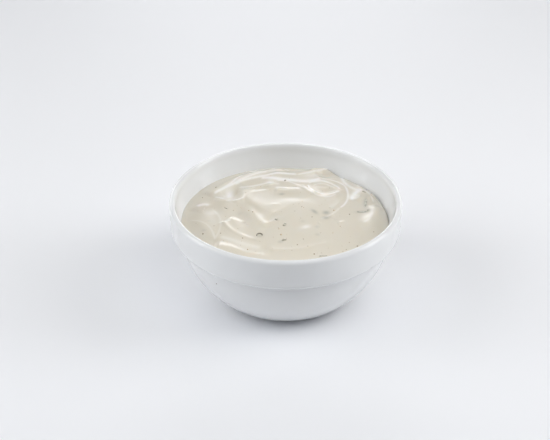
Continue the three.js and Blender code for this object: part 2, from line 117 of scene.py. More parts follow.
# Folds that the spoon left: the four control points of the crest's curve in plan, the
# crest's height at both ends, the widths of the slopes to the left and right of its
# direction, the lengths over which it fades in and out, and how round its crest is.
FOLDS = {
    "outer fold": (
        ((-40.6, 20.6), (-33.9, 35.2), (-16.9, 49), (3.9, 45.3)),
        (1.3, 1.5), (3.6, 1.6), (5, 8), 1.2,
    ),
    "outer fold, inner edge": (
        ((-38.6, 22), (-30.8, 30.8), (-23.4, 41), (-9.6, 43.9)),
        (0.5, 0.7), (1.4, 1.2), (4, 6), 0.9,
    ),
    "back fold": (
        ((-28.2, 31.9), (-12, 51.6), (19.3, 28.4), (29.5, 57.3)),
        (0.7, 2.8), (2.4, 4.2), (5, 3), 1.3,
    ),
    "far side": (
        ((23.8, 62), (-3.1, 15.3), (52.5, 41.1), (44.7, 8.8)),
        (1.7, 1.8), (4.2, 3.2), (3, 8), 1.1,
    ),
    "inner spiral": (
        ((-12.8, 37.3), (18.4, 35.2), (52.4, 32.8), (16, -5.4)),
        (0.9, 0.1), (2.6, 1.8), (5, 20), 1.1,
    ),
    "leaf, upper lip": (
        ((13.6, 30.4), (18.8, 36), (24.2, 27.6), (29.4, 23.3)),
        (0.6, 0.45), (1.2, 1.3), (2.5, 3), 0.9,
    ),
    "leaf, lower lip": (
        ((31.2, 25), (19.4, 10.3), (15.5, 17.5), (13.5, 31)),
        (0.6, 0.45), (1.1, 1.4), (3.5, 3), 1,
    ),
    "leaf, outer lip": (
        ((10.5, 30.5), (8.3, 20.4), (24.4, 13.6), (29.7, 24.6)),
        (0.35, 0.5), (1, 2.4), (3, 4), 0.8,
    ),
    "under spiral": (
        ((-4.6, 33.1), (2.4, 30.6), (11.7, 28.1), (16.6, 19)),
        (0.42, 0.33), (2.9, 2.3), (4.1, 2), 1.4,
    ),
    "plateau, top": (
        ((-26.4, 26), (-16.2, 25.8), (-9.2, 31.7), (-1.3, 31.3)),
        (0.8, 0.4), (1.2, 4.2), (3.5, 5), 0.8,
    ),
    "bar": (
        ((-6.5, 25.1), (-1.5, 25), (3.7, 22.2), (9, 25.9)),
        (0.55, 0.56), (1.4, 2.6), (2.6, 3), 0.9,
    ),
    "plateau, left": (
        ((-23, 27.9), (-24.5, 15.3), (-11.4, 6), (-3.6, -2.1)),
        (1.25, 0.5), (6.5, 3.2), (8, 4), 2.2,
    ),
    "spoon streak": (
        ((-19, 10.1), (-16.7, 1.7), (-15.6, -6.4), (-8.7, -13.4)),
        (0.6, 1.15), (3.6, 2.9), (9, 4.5), 1.5,
    ),
    "left bar": (
        ((-29.8, -2.2), (-27.1, -4.2), (-22.6, -5.1), (-20.7, -6.7)),
        (0.28, 0.14), (1.2, 3.2), (2, 2), 1.2,
    ),
    "lower ridge": (
        ((-32.3, -4.9), (-30.1, -12.8), (-22.7, -21.2), (-11.2, -23.8)),
        (0.71, 0.13), (1.4, 0.9), (1.3, 4.1), 0.9,
    ),
    "lobe, top": (
        ((-50.2, 5.8), (-48.9, 9.2), (-42.7, 17.9), (-38.9, 10.2)),
        (0.7, 0.5), (1.8, 3.2), (5, 4), 0.9,
    ),
    "lobe, right": (
        ((-39.9, 8.5), (-31.9, -1.7), (-30, -14.5), (-36, -24.2)),
        (0.25, 0.35), (3.6, 3.4), (7, 5), 1.2,
    ),
    "lobe, inner": (
        ((-49.5, -3.2), (-42.8, -2.5), (-38.6, -16.1), (-36, -23)),
        (0.15, 0.25), (2.2, 3), (7, 7), 1.4,
    ),
    "front roll": (
        ((-36.7, -27.4), (-26, -27.1), (-19.7, -40.1), (-6.6, -36.5)),
        (1.2, 0.73), (3.3, 3.5), (3.6, 6.1), 1.4,
    ),
    "front roll, top": (
        ((-34.9, -20.1), (-26.6, -24), (-20.9, -31.2), (-10.3, -32.9)),
        (0.12, 0.19), (1.6, 3.5), (5.9, 4.9), 1.8,
    ),
    "front arc": (
        ((-9.6, -30.8), (2.5, -35.1), (15.2, -29.3), (25.6, -24)),
        (0.46, 0.38), (2.4, 2.6), (4, 8.3), 0.9,
    ),
    "star, left": (
        ((-38.4, 18.4), (-35.2, 17.3), (-31.8, 16.3), (-29.1, 14.8)),
        (0.55, 0.4), (1.5, 1.6), (2.7, 3), 0.9,
    ),
    "star, top": (
        ((-30.1, 25.3), (-30.2, 21.5), (-30.7, 17.5), (-29.2, 13.7)),
        (0.03, 0.12), (1.7, 1.5), (1.5, 1), 1,
    ),
    "star, right": (
        ((-28.2, 13.4), (-26, 14.7), (-23.9, 16.5), (-21.1, 16.1)),
        (0.8, 0.5), (1.4, 1.4), (2.8, 2.2), 0.8,
    ),
    "right face": (
        ((47.2, 12.8), (48.4, 2.2), (51.6, -6.8), (36.8, -14.8)),
        (1.4, 0.8), (2.9, 2.2), (8, 9), 1.6,
    ),
    "hollow rim": (
        ((42.7, 24.4), (40.2, 21.2), (40.4, 15.8), (36.4, 11.4)),
        (0.7, 0.8), (3, 1.4), (4, 4.8), 1.3,
    ),
    "broad band": (
        ((-18.9, 20.5), (-2.7, 14.7), (12.5, 12.4), (26.6, 16)),
        (0.2, 0.03), (4.4, 6), (7, 8), 1.6,
    ),
    "back band": (
        ((-10.1, 39.6), (-1.5, 43.1), (5.9, 35.2), (16.3, 42.3)),
        (1, 0.9), (3.4, 2.8), (7, 7), 1.5,
    ),
    "right crest": (
        ((26.3, -8.5), (27.6, -8.2), (29.1, -8), (31, -6.2)),
        (0.19, 0.24), (0.9, 1.1), (0.8, 2.9), 1,
    ),
    "small crest": (
        ((16.5, -9), (17.3, -9), (18, -8.5), (17.9, -8.2)),
        (0.16, 0.15), (0.9, 0.9), (1, 0.9), 1,
    ),
    "small crest, behind": (
        ((22.8, -3.3), (23.7, -2.7), (24.8, -2), (25.8, -1.9)),
        (0.15, 0.14), (0.9, 0.9), (1, 0.9), 1,
    ),
    "plateau crest": (
        ((-6.2, 11.1), (-6.3, 9.6), (-5, 9.2), (-2.6, 10.3)),
        (0.13, 0.03), (1.1, 1.1), (1.3, 0.8), 1,
    ),
}
PATH_STEPS = 48

# Broad swells and hollows: centre, half length and half width, turn in degrees, rise.
SWELLS = (
    ((8.4, 44.2), (17.3, 4.3), 37, -0.53),
    ((21.3, 40.6), (7.9, 3), 9, -1.35),
    ((24.7, 29.8), (9.7, 2.9), -11, -1.38),
    ((-28.6, 21.8), (7.7, 4.8), 22, -1.15),
    ((-21.6, -5.7), (3.6, 10.9), 14, -0.99),
    ((3.5, 16.3), (15.3, 3.2), -2, -0.14),
    ((7.4, -3.9), (21.4, 14.9), 31, 0.62),
    ((-8.4, 29.3), (2.9, 2.5), -2, 0.74),
    ((9.5, -16.9), (6, 4.7), 25, 0.62),
    ((36.8, 19.4), (4.2, 2.1), -17, -0.39),
    ((-11.4, 3), (5.9, 4.1), -11, -0.26),
    ((-38.1, 7.2), (4.8, 14.2), 10, -0.9),
    ((-21.1, -9.4), (5.8, 6.3), 2, 0.45),
    ((44, -3.7), (3.9, 11.3), -32, 0.53),
)

# Painted highlights along the crests, pale lines in the sauce's colour where the gloss catches the
# light: the control points of their curves, the half width of each line and how pale it is.
PAINTED_HIGHLIGHT_FADE = 2.0
PAINTED_HIGHLIGHT_LINES = {
    "outer band, far edge": (((-39, 22.8), (-26.2, 31.7), (-18.6, 60.3), (2.9, 46)), 0.65, 0.8),
    "outer band, near edge": (((-38.4, 22.5), (-30.1, 31.4), (-20.7, 39.7), (-9.4, 44.6)), 0.55, 0.75),
    "outer band": (((-36.8, 24.3), (-27.3, 34.8), (-15.6, 46.2), (0.1, 45.2)), 1.7, 0.4),
    "back fold": (((-27.9, 32), (-18.3, 40.1), (-4.6, 42.1), (7.2, 38.7)), 0.9, 0.9),
    "back fold, peak": (((6.1, 38.6), (15.8, 40.5), (27.9, 44.5), (26.5, 58.2)), 0.6, 0.75),
    "far side": (((26.5, 57.2), (35.5, 47.6), (26.1, 26.6), (41.9, 22.4)), 1.1, 0.75),
    "far side, end": (((40.9, 22.8), (45.5, 20.9), (46.1, 15.3), (47, 11.2)), 0.5, 0.45),
    "spiral": (((-13.7, 38.5), (-2.7, 35.8), (8.6, 31.5), (20.3, 33.8)), 1.2, 0.95),
    "spiral, turn": (((19.2, 33.7), (36.4, 37.7), (36.9, 13.3), (28.2, 5.7)), 0.55, 0.8),
    "spiral, end": (((28.7, 6.7), (26.6, 1.6), (22.6, -2.6), (17.8, -5.3)), 0.6, 0.4),
    "leaf, upper lip": (((12.3, 31.7), (19, 33.5), (28.2, 31.8), (29.9, 23.4)), 0.5, 0.85),
    "leaf, lower lip": (((12.6, 30.7), (11.8, 22), (24, 15.5), (29.9, 22.9)), 0.6, 0.95),
    "leaf, inside": (((14.7, 28.1), (18.4, 33.9), (26, 28.9), (27.2, 24.1)), 0.35, 0.5),
    "leaf, outer lip": (((9.3, 30.6), (12.2, 24.6), (18.5, 9.8), (27.8, 20)), 0.4, 0.55),
    "under spiral": (((-4.9, 34.8), (4, 34.3), (10.9, 27.5), (14.9, 20.1)), 0.5, 0.6),
    "plateau, top": (((-25.7, 29.8), (-18.9, 28.4), (-12.9, 32.3), (-6.6, 33.7)), 0.8, 0.6),
    "bar": (((-6, 26.8), (-1.1, 29.6), (3.6, 25.4), (8.6, 26.4)), 0.9, 0.6),
    "broad band": (((-17.7, 15.9), (-2.7, 11.4), (13.2, 14.1), (28.2, 16.8)), 3.6, 0.16),
    "star, left": (((-38.4, 21.1), (-35.5, 20), (-32.9, 18.5), (-30.1, 17.4)), 0.55, 0.8),
    "star, right": (((-29, 16.3), (-26.9, 14.2), (-23.4, 15.3), (-21.5, 17)), 0.5, 0.8),
    "lobe, top": (((-47.3, 9.9), (-45.7, 11.8), (-42.3, 14.1), (-40, 11.7)), 1.1, 0.9),
    "lobe, right": (((-39.4, 9.5), (-32.1, 0.9), (-32.2, -11.8), (-36.2, -21.8)), 0.6, 0.25),
    "lobe, inner": (((-50.2, -2.5), (-39.6, -1.8), (-36.9, -14.2), (-35.7, -21.9)), 0.5, 0.3),
    "front roll, top": (((-33.8, -19.4), (-25.8, -21.5), (-20.1, -28.2), (-11.9, -29.6)), 1.6, 0.3),
    "right patch": (((35.5, 13.6), (35.4, 17.3), (37.4, 23.5), (42.5, 22.3)), 1.7, 1),
    "right face": (((46.1, 10.2), (45.2, 3.9), (46.2, -5), (39.3, -8.4)), 0.9, 0.4),
}
# Painted highlights beside the crests, and painted shade, a darker tan in hollows and on slopes that
# face away from the light: centre, half length and half width, turn in degrees, strength.
PAINTED_HIGHLIGHT_PATCHES = (
    ((-7.7, 33.3), (2.6, 1.2), -9, 0.9),
    ((-30.3, 22.3), (2.2, 5.1), 0, 1),
    ((-32.2, 21.2), (2.6, 2.4), 0, 0.6),
    ((16, 37.6), (7.3, 2.5), 0, 0.45),
    ((10.4, -12.7), (2.3, 1.7), 27, 0.4),
    ((-12.4, 20.4), (6.3, 3.4), 0, 0.12),
    ((41.8, -2), (2.4, 1.8), 34, 0.35),
)
# Painted shade: where these lie, the sauce's colour is mixed towards the darker tan of shaded hollows.
PAINTED_SHADE_PATCHES = (
    ((-26.2, 24.5), (2.2, 3.9), 0, 0.9),
    ((-15.5, 6.2), (10.2, 1.8), -56, 0.75),
    ((-22.2, 3.6), (3.7, 8.8), 0, 0.5),
    ((1, 20.8), (9.4, 2.2), 0, 0.5),
    ((-9.9, -30.4), (1.6, 2.4), 0, 0.6),
    ((-33.7, 13.6), (5.2, 4.9), 0, 0.35),
    ((-31.5, -13.6), (3.1, 4.9), 0, 0.3),
)

# Pieces of herb on the surface, in millimetres: centre, length, width, turn in degrees.
HERB_LEAVES = (
    ((-0.6, -10.2), 2.9, 1.8, 60),
    ((-0.9, -23.4), 3.0, 1.7, 20),
    ((-31.3, 8.2), 2.3, 1.0, -50),
    ((0.1, 34.2), 1.4, 1.2, 80),
    ((-4.6, -5.3), 2.2, 1.6, 30),
    ((42.4, 20.6), 2.2, 1.2, -30),
    ((18.3, -37.0), 4.0, 1.3, 8),
    ((43.5, 4.1), 2.0, 1.5, 20),
)
CHIVES = (
    ((42.6, 11.4), 7.2, 1.15, 83),
    ((40.3, 2.6), 6.2, 1.1, 4),
)
# Slice of chive: centre, radius, half thickness, and the angles that it spans.
CHIVE_RING = ((-13.3, -18.9), 1.4, 0.42, (-35, 215))
# Pieces that a film of sauce covers: centre, length, width, turn, how strongly they show.
VEILED_HERBS = (
    ((-1.9, 20.3), 3.2, 2.0, 10, 0.45),
    ((15.2, 1.8), 5.2, 2.2, -58, 0.55),
    ((21.2, 0.9), 3.4, 3.4, 0, 0.6),
    ((20.9, -3.9), 3.8, 2.8, 10, 0.5),
    ((-23.8, 2.6), 3.0, 3.0, 0, 0.16),
    ((16.0, -12.5), 2.6, 2.6, 0, 0.16),
    ((16.0, -19.3), 2.4, 2.0, 0, 0.2),
    ((8.8, -7.5), 2.4, 2.2, 0, 0.16),
    ((-42.0, -12.6), 2.4, 1.8, 0, 0.16),
    ((-39.9, -3.4), 2.6, 2.0, 0, 0.14),
    ((-2.6, -25.0), 3.0, 2.4, 20, 0.3),
    ((-13.0, -19.6), 3.2, 3.0, 0, 0.3),
    ((42.6, 11.4), 7.6, 2.4, 83, 0.35),
    ((40.3, 2.4), 7.0, 2.4, 4, 0.35),
)
# Specks of pepper: centre and width. Finer ones are strewn at random.
PEPPER = (
    ((-37.6, 28.9), 0.9), ((-44.5, 20.4), 0.6), ((-42.1, -15.8), 0.9), ((-36.8, -8.6), 0.5),
    ((-33.1, -16.3), 0.6), ((-21.8, -21.1), 0.7), ((-17.1, 1.9), 0.8), ((-27.3, 5.5), 0.4),
    ((33.3, 0.0), 0.8), ((31.7, -25.7), 0.6), ((44.7, -15.9), 0.6), ((13.9, -35.6), 0.9),
    ((13.8, -3.4), 0.6), ((8.8, -23.2), 0.5), ((5.7, -27.9), 0.7), ((10.8, -29.5), 0.5),
    ((35.6, -28.6), 0.8), ((29.9, -31.7), 0.5), ((28.1, -33.4), 0.5), ((17.4, -34.7), 0.4),
    ((8.7, 6.8), 0.5), ((5.0, 2.4), 0.4), ((2.9, -32.9), 0.4), ((-24.4, -12.6), 0.3),
    ((23.4, 5.8), 0.3), ((7.7, -4.5), 0.3), ((-3.7, -13.1), 0.4),
)
# Specks of spice, orange and rust: centre and width.
SPICE = (
    ((-2.4, -19.0), 1.0), ((-19.2, 4.0), 0.8), ((-3.4, -13.9), 0.6), ((25.4, 3.3), 0.8),
    ((-19.0, -31.7), 0.8), ((28.0, -11.5), 0.5), ((23.9, -17.5), 0.5), ((9.6, 6.2), 0.5),
)
STREWN_PEPPER = 60
STREWN_SPICE = 40
STREWN_PEPPER_WIDTHS = (0.16, 0.32)
STREWN_SPICE_WIDTHS = (0.18, 0.42)
STREWN_RADIUS = 50.0
STREWN_SEED = 7
# Flakes: share of the width that stands out, steps around and seed of the outline.
LEAF_FLAKE = (0.16, 18, 3)
CHIVE_FLAKE = (0.2, 24, 5)
PEPPER_FLAKE = (0.35, 8, 11)
SPICE_FLAKE = (0.3, 8, 13)
# Rings inside a flake's outline, as shares of its radius, and the outline's waves: their
# count around it and their size.
FLAKE_RINGS = (0.45, 0.8)
FLAKE_WAVES = ((2, 0.16), (3, 0.12))
FLAKE_WIDEST = 1.5
# Steps along and around the slice of chive, and the half thickness of its tips.
RING_STEPS = (40, 14)
RING_TIP = 0.02
# Brown speck in the glaze of the body: centre, radius, and share of it that is darkest.
GLAZE_SPECK = (-34.4, -41.8, 29.8)
GLAZE_SPECK_RADIUS = 0.45
GLAZE_SPECK_CORE = 0.6

# Glaze. Tones, ripples and mottles are in features for each metre. A roughness is its least
# value and how much the tone adds.
GLAZE_IOR = 1.52
GLAZE_TONES = 22.0
GLAZE_SHADE = 0.97
GLAZE_ROUGHNESS = (0.06, 0.05)
GLAZE_RIPPLES = 60.0
GLAZE_RIPPLE_HEIGHT = 0.08
SPECK_BROWN = (0.12, 0.07, 0.04)

# Sauce: the glow is light that passes under its surface, with a depth in millimetres. The tints are
# painted shade for the hollows, painted highlights for the crests, and the colour of herbs under the
# film.
SAUCE_IOR = 1.46
SAUCE_GLOSS = 0.46
SAUCE_GLOW = 0.3
SAUCE_GLOW_DEPTH = 3.0
SAUCE_GLOW_REACH = (1.0, 0.8, 0.6)
SAUCE_TONES = 45.0
SAUCE_SHADE = (0.97, 0.96, 0.93)
SAUCE_ROUGHNESS = (0.12, 0.08)
PAINTED_SHADE_TINT = (0.69, 0.635, 0.535)
PAINTED_HIGHLIGHT_TINT = (0.98, 0.96, 0.93)
VEILED_TINT = (0.34, 0.36, 0.33)

# Herbs, pepper and spice, each mottled from a dark to a light colour.
HERB_IOR = 1.45
HERB_ROUGHNESS = 0.3
HERB_MOTTLE = (0.35, 0.65)
LEAF_COLOURS = ((0.37, 0.34, 0.27), (0.62, 0.58, 0.49))
SLICE_COLOURS = ((0.19, 0.175, 0.135), (0.40, 0.37, 0.30))
CHIVE_COLOURS = ((0.43, 0.42, 0.36), (0.68, 0.67, 0.59))
PEPPER_COLOURS = ((0.34, 0.26, 0.17), (0.54, 0.44, 0.31))
SPICE_COLOURS = ((0.54, 0.36, 0.19), (0.66, 0.52, 0.30))
LEAF_MOTTLES = 900.0
CHIVE_MOTTLES = 700.0
SPECK_MOTTLES = 2000.0

# Camera, floor and light, in metres.
CAMERA_TARGET = (-5.46 * MM, 0.0, 40.7 * MM)
CAMERA_LENS = 67.6
FLOOR_HALF = 3.0
# Softboxes: direction in degrees (azimuth, elevation), distance, side, watts and colour.
SOFTBOXES = {
    "top": ((90, 70), 2.0, 1.2, 1.7, (1.00, 1.00, 1.00)),
    "back": ((90, 12), 1.2, 0.62, 3.1, (0.98, 0.99, 1.03)),
    "back middle": ((90, 14), 2.6, 0.95, 4.2, (1.00, 1.00, 1.00)),
    "back left": ((120, 14), 2.6, 0.95, 6.2, (1.00, 1.00, 1.00)),
    "back right": ((60, 14), 2.6, 0.95, 5.8, (1.00, 1.00, 1.00)),
    "right": ((0, 36), 0.9, 0.5, 3.2, (1.02, 1.00, 0.98)),
    "right low": ((0, 14), 2.6, 0.95, 15.0, (0.96, 1.00, 1.04)),
    "left": ((180, 36), 0.9, 0.5, 2.5, (1.01, 1.00, 0.99)),
    "left low": ((180, 14), 2.6, 0.95, 9.8, (0.98, 1.00, 1.02)),
    "left front": ((210, 32), 2.6, 0.95, 8.0, (0.98, 1.01, 1.01)),
    "front": ((270, 62), 0.9, 0.5, 1.3, (0.90, 0.97, 1.13)),
    "front right": ((315, 62), 1.2, 0.62, 2.1, (1.06, 1.03, 0.91)),
    "front left": ((225, 62), 1.2, 0.62, 0.9, (1.06, 1.03, 0.91)),
}
LIGHT_TARGET = (0.0, 0.0, 0.04)
WORLD_STRENGTH = 0.6
FLOOR_ROUGHNESS = 0.6


class BowlSettings(PropertyGroup):
    """Finish of the porcelain."""

    glaze: FloatVectorProperty(
        name="Glaze",
        description="Colour of the glazed porcelain",
        subtype="COLOR",
        size=3,
        default=(0.835, 0.845, 0.855),
    )
    segments: IntProperty(
        name="Segments",
        description="Steps around the bowl",
        default=240,
        min=16,
    )


class SauceSettings(PropertyGroup):
    """Sizes and colours of the sauce."""

    cream: FloatVectorProperty(
        name="Cream",
        description="Colour of the sauce",
        subtype="COLOR",
        size=3,
        default=(0.765, 0.721, 0.633),
    )
    grid: IntProperty(
        name="Grid",
        description="Steps across the surface of the sauce",
        default=300,
        min=16,
    )


class StageSettings(PropertyGroup):
    """Camera, light and floor."""

    floor: FloatVectorProperty(
        name="Floor",
        description="Colour of the floor",
        subtype="COLOR",
        size=3,
        default=(0.86, 0.87, 0.90),
    )
    distance: FloatProperty(
        name="Camera distance",
        description="From the camera to the point that it looks at",
        default=0.54,
        unit="LENGTH",
    )
    pitch: FloatProperty(
        name="Camera pitch",
        description="How far the camera looks down",
        default=np.radians(32.35),
        subtype="ANGLE",
    )


class SauceBowlSettings(PropertyGroup):
    """All settings of the model."""

    bowl: PointerProperty(type=BowlSettings)
    sauce: PointerProperty(type=SauceSettings)
    stage: PointerProperty(type=StageSettings)


# ---------------------------------------------------------------- shapes


def arc(centre, radius, start, end, steps, rise=None):
    """Points of a circle's arc, or with a rise an ellipse's, between two angles in degrees."""
    angle = np.radians(np.linspace(start, end, steps + 1))
    rise = radius if rise is None else rise
    return np.stack([centre[0] + radius * np.cos(angle), centre[1] + rise * np.sin(angle)], 1)


def bezier(controls, steps):
    """Points of a Bezier curve: pairs of control points are blended until one is left."""
    t = np.linspace(0, 1, steps + 1)[:, None]
    layers = [np.repeat([point], steps + 1, 0) for point in np.asarray(controls, float)]
    while len(layers) > 1:
        layers = [(1 - t) * low + t * high for low, high in zip(layers, layers[1:])]
    return layers[0]


def outer_profile():
    """Underside, foot, body, step and collar, from the axis out and up to the lip."""
    step = BOWL_HEIGHT - COLLAR_HEIGHT
    top_angle = np.degrees(np.arcsin((step - STEP_FILLET - BODY_CENTRE[1]) / BODY_ARC_RADIUS))
    body = arc(BODY_CENTRE, BODY_ARC_RADIUS, -BODY_LOW_ANGLE, top_angle, BODY_STEPS)
    run = (body[0, 1] - FOOT_HEIGHT) * np.tan(np.radians(BODY_LOW_ANGLE))
    under = ((FOOT_RADIUS + FOOT_ROUND, FOOT_HEIGHT), (body[0, 0] - run, FOOT_HEIGHT), body[0])
    inside = FOOT_RADIUS - FOOT_WIDTH
    heel = ((inside - FOOT_ROUND, FOOT_HEIGHT), (inside, FOOT_HEIGHT), (inside, FOOT_ROUND))
    low_edge = (RIM_RADIUS - COLLAR_DRAFT - COLLAR_EDGE_ROUND, step + COLLAR_EDGE_ROUND)
    fillet = (body[-1], (body[-1, 0] + FILLET_LEAN, step), (body[-1, 0] + STEP_FILLET, step))
    lip = (RIM_RADIUS - LIP_OUTER_ROUND, BOWL_HEIGHT - LIP_OUTER_ROUND)
    return np.concatenate([
        [(inside - 2 * FOOT_ROUND, FOOT_HEIGHT)],
        bezier(heel, FOOT_STEPS),
        arc((inside + FOOT_ROUND, FOOT_ROUND), FOOT_ROUND, 180, 270, FOOT_STEPS)[1:],
        arc((FOOT_RADIUS - FOOT_ROUND, FOOT_ROUND), FOOT_ROUND, -90, 0, FOOT_STEPS),
        bezier(under, UNDER_STEPS)[:-1],
        body,
        bezier(fillet, FILLET_STEPS)[1:],
        arc(low_edge, COLLAR_EDGE_ROUND, -90, 0, COLLAR_STEPS),
        arc(lip, LIP_OUTER_ROUND, 0, 90, LIP_STEPS),
    ])


def inner_profile():
    """Inside of the lip, inner wall and floor, from the lip down and in."""
    lip_round = LIP_THICKNESS - LIP_OUTER_ROUND
    lip = (RIM_RADIUS - LIP_OUTER_ROUND, BOWL_HEIGHT - LIP_INNER_DROP)
    wall = arc(BODY_CENTRE, BODY_ARC_RADIUS - BODY_THICKNESS, *INNER_ARC, INNER_ARC_STEPS)
    run = (wall[-1, 1] - FLOOR_HEIGHT) * np.tan(np.radians(-INNER_ARC[1]))
    upper = bezier(((lip[0] - lip_round, lip[1]), *INNER_WALL_PULLS, wall[0]), INNER_WALL_STEPS)
    corner = (wall[-1, 0] - run, FLOOR_HEIGHT)
    heel = bezier((wall[-1], corner, (FLOOR_RADIUS, FLOOR_HEIGHT)), HEEL_STEPS)
    round_lip = arc(lip, lip_round, 90, 180, INNER_LIP_STEPS, LIP_INNER_DROP)
    return round_lip[1:-1], np.concatenate([upper, wall[1:], heel[1:]])


def wall_radius(height):
    """Radius of the inner wall at a height."""
    wall = inner_profile()[1]
    return np.interp(height, wall[::-1, 1], wall[::-1, 0])


def lathe(profile, segments):
    """Vertices and faces of a profile turned about the Z axis and closed on it at both ends.

    Vertex (i, j) is profile point j at the angle 2 pi i / segments.
    """
    angle = np.arange(segments) * 2 * np.pi / segments
    radius, height = profile.T
    x = np.cos(angle)[:, None] * radius
    y = np.sin(angle)[:, None] * radius
    z = np.broadcast_to(height, x.shape)
    points = np.stack([x, y, z], -1).reshape(-1, 3)
    count = len(profile)
    i = np.arange(segments)[:, None]
    j = np.arange(count - 1)
    near, far = i * count, ((i + 1) % segments) * count
    quads = np.stack([near + j, far + j, far + j + 1, near + j + 1], -1).reshape(-1, 4)
    poles = np.array([(0, 0, height[0]), (0, 0, height[-1])])
    i, after = i[:, 0] * count, (i[:, 0] + 1) % segments * count
    base = len(points)
    first = np.stack([np.full(segments, base), after, i], 1)
    last = np.stack([np.full(segments, base + 1), i + count - 1, after + count - 1], 1)
    return np.concatenate([points, poles]), [*quads.tolist(), *first.tolist(), *last.tolist()]


def path_distance(controls, x, y):
    """Distance to a fold's crest, whether the point is on its left, and the length along it.

    The crest is cut into short straight pieces, and the nearest piece counts.
    """
    points = bezier(controls, PATH_STEPS)
    pieces = np.diff(points, axis=0)
    lengths = np.hypot(*pieces.T)
    starts = np.concatenate([[0], np.cumsum(lengths)])
    nearest = np.full(x.shape, np.inf)
    left = np.zeros(x.shape, bool)
    along = np.zeros(x.shape)
    directions = pieces / lengths[:, None]
    for (px, py), (ux, uy), length, start in zip(points, directions, lengths, starts):
        dx, dy = x - px, y - py
        t = np.clip(dx * ux + dy * uy, 0, length)
        distance = np.hypot(dx - t * ux, dy - t * uy)
        closer = distance < nearest
        nearest = np.where(closer, distance, nearest)
        left = np.where(closer, ux * dy - uy * dx >= 0, left)
        along = np.where(closer, start + t, along)
    return nearest, left, along, starts[-1]


def smoothstep(value, width):
    """Zero below 0, one above width, and 3t^2 - 2t^3 between them."""
    t = np.clip(value / width, 0, 1)
    return t * t * (3 - 2 * t)


def fold_rise(fold, x, y):
    """Rise of a fold: its crest's height times an exponential of the distance from it."""
    controls, crest, slopes, fade, rounding = fold
    distance, left, along, total = path_distance(controls, x, y)
    slope = np.where(left, slopes[0], slopes[1])
    height = crest[0] + (crest[1] - crest[0]) * along / total
    height = height * smoothstep(along, fade[0]) * smoothstep(total - along, fade[1])
    return height * np.exp(-(np.hypot(distance, rounding) - rounding) / slope)


def swell_rise(swell, x, y):
    """Rise of a swell: a bell curve over an ellipse."""
    centre, radii, turn, rise = swell
    dx, dy = x - centre[0], y - centre[1]
    c, s = np.cos(np.radians(turn)), np.sin(np.radians(turn))
    return rise * np.exp(-(((dx * c + dy * s) / radii[0]) ** 2) - ((dy * c - dx * s) / radii[1]) ** 2)


def surface_height(x, y):
    """Height of the sauce: a low dome, rounded down at the wall, with its swells and folds."""
    radius = np.hypot(x, y)
    dome = DOME_RISE * (1 - (radius / SURFACE_RADIUS) ** 2)
    deep_side = np.cos(np.arctan2(y, x) - np.radians(ROLL_SIDE))
    roll = (ROLL_DEPTH + ROLL_SWING * deep_side) * np.exp((radius - SURFACE_RADIUS) / ROLL_WIDTH)
    height = SAUCE_LEVEL + dome + TILT[0] * x + TILT[1] * y - roll
    for fold in FOLDS.values():
        height = height + fold_rise(fold, x, y)
    for swell in SWELLS:
        height = height + swell_rise(swell, x, y)
    return height


def edge_radius(angle):
    """Radius at which the surface meets the wall, found by going back and forth between them."""
    radius = np.full(angle.shape, SURFACE_RADIUS)
    for _ in range(EDGE_ROUNDS):
        radius = wall_radius(surface_height(radius * np.cos(angle), radius * np.sin(angle)))
    return radius + WALL_OVERLAP


def sauce_body(steps):
    """Vertices and faces of the sauce.

    A square grid (u, v) is bent into a disc by x = u sqrt(1 - v^2/2), y = v sqrt(1 - u^2/2),
    stretched to the wall and lifted to the surface. The border is then carried down the wall
    to the bowl's floor and closed there.
    """
    ramp = np.linspace(-1, 1, steps + 1)
    u, v = np.meshgrid(ramp, ramp)
    x = u * np.sqrt(1 - v * v / 2)
    y = v * np.sqrt(1 - u * u / 2)
    turn = np.linspace(-np.pi, np.pi, EDGE_ANGLES)
    reach = np.interp(np.arctan2(y, x), turn, edge_radius(turn))
    x, y = x * reach, y * reach
    top = np.stack([x, y, surface_height(x, y)], -1).reshape(-1, 3)
    index = np.arange((steps + 1) ** 2).reshape(steps + 1, steps + 1)
    corners = [index[:-1, :-1], index[:-1, 1:], index[1:, 1:], index[1:, :-1]]
    quads = np.stack(corners, -1).reshape(-1, 4)
    border = np.concatenate([index[0, :-1], index[:-1, -1], index[-1, :0:-1], index[:0:-1, 0]])
    rim = top[border]
    angle = np.arctan2(rim[:, 1], rim[:, 0])
    points = [top]
    faces = [quads]
    above = border
    for share in SIDE_SHARES:
        height = rim[:, 2] + (FLOOR_HEIGHT - rim[:, 2]) * share
        radius = wall_radius(height) + WALL_OVERLAP * (1 - share)
        points.append(np.stack([radius * np.cos(angle), radius * np.sin(angle), height], 1))
        below = np.arange(len(border)) + sum(len(ring) for ring in points[:-1])
        faces.append(np.stack([above, below, np.roll(below, -1), np.roll(above, -1)], 1))
        above = below
    points.append(np.array([(0, 0, FLOOR_HEIGHT)]))
    centre = sum(len(ring) for ring in points) - 1
    fan = np.stack([above, np.full(len(above), centre), np.roll(above, -1)], 1)
    return np.concatenate(points), [*np.concatenate(faces).tolist(), *fan.tolist()]


def strongest(places, x, y):
    """The strongest of several bell curves at each point."""
    return np.max([swell_rise(place, x, y) for place in places], axis=0)


def stain_strength(x, y):
    """How strongly the herbs under the film show."""
    places = [(centre, (length / 2, width / 2), turn, depth)
              for centre, length, width, turn, depth in VEILED_HERBS]
    return strongest(places, x, y)


def painted_highlight_strength(x, y):
    """Strength of the painted highlights: the patches beside the crests, and along each crest a bell
    curve across it, faded at both ends.
    """
    strength = strongest(PAINTED_HIGHLIGHT_PATCHES, x, y)
    for controls, width, peak in PAINTED_HIGHLIGHT_LINES.values():
        distance, _, along, total = path_distance(controls, x, y)
        ends = smoothstep(along, PAINTED_HIGHLIGHT_FADE) * smoothstep(total - along, PAINTED_HIGHLIGHT_FADE)
        line = peak * np.exp(-(distance / width) ** 2) * ends
        strength = 1 - (1 - strength) * (1 - line)
    return strength


